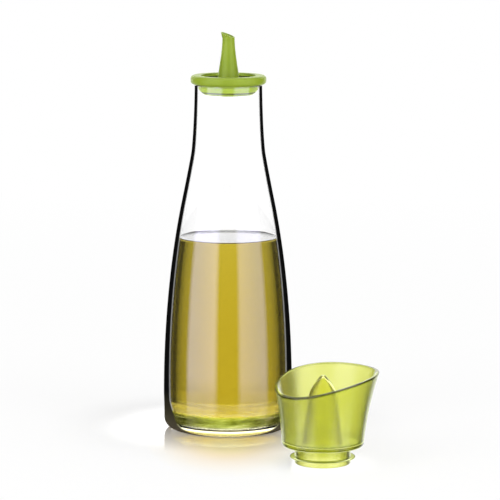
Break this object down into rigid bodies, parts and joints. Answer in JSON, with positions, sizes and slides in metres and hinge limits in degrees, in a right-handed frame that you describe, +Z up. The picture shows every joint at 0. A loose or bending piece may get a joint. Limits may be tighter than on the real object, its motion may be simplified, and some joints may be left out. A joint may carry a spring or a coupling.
{
  "type": "oil cruet",
  "caption": "Clear glass oil cruet with a long neck, part filled with oil, a plastic pourer in its mouth, and its flared cap standing beside it.",
  "frame": {"origin": "centre of the bottle's flat base, where it stands on the table", "axes": "+Z up along the bottle's axis, -Y towards the side that the cap stands on, +X to the right when seen from there"},
  "size_m": [0.1244, 0.1667, 0.2362],
  "materials": {
    "glass": "clear polished glass",
    "oil": "clear yellow-green oil",
    "pourer_plastic": "satin moulded plastic",
    "cap_plastic": "translucent moulded plastic",
    "seal": "clear soft seal"
  },
  "bodies": {
    "root": {"bottle": "glass", "oil": "oil", "pourer": "pourer_plastic", "cap": "cap_plastic", "cap_seal": "seal"}
  },
  "joints": []
}
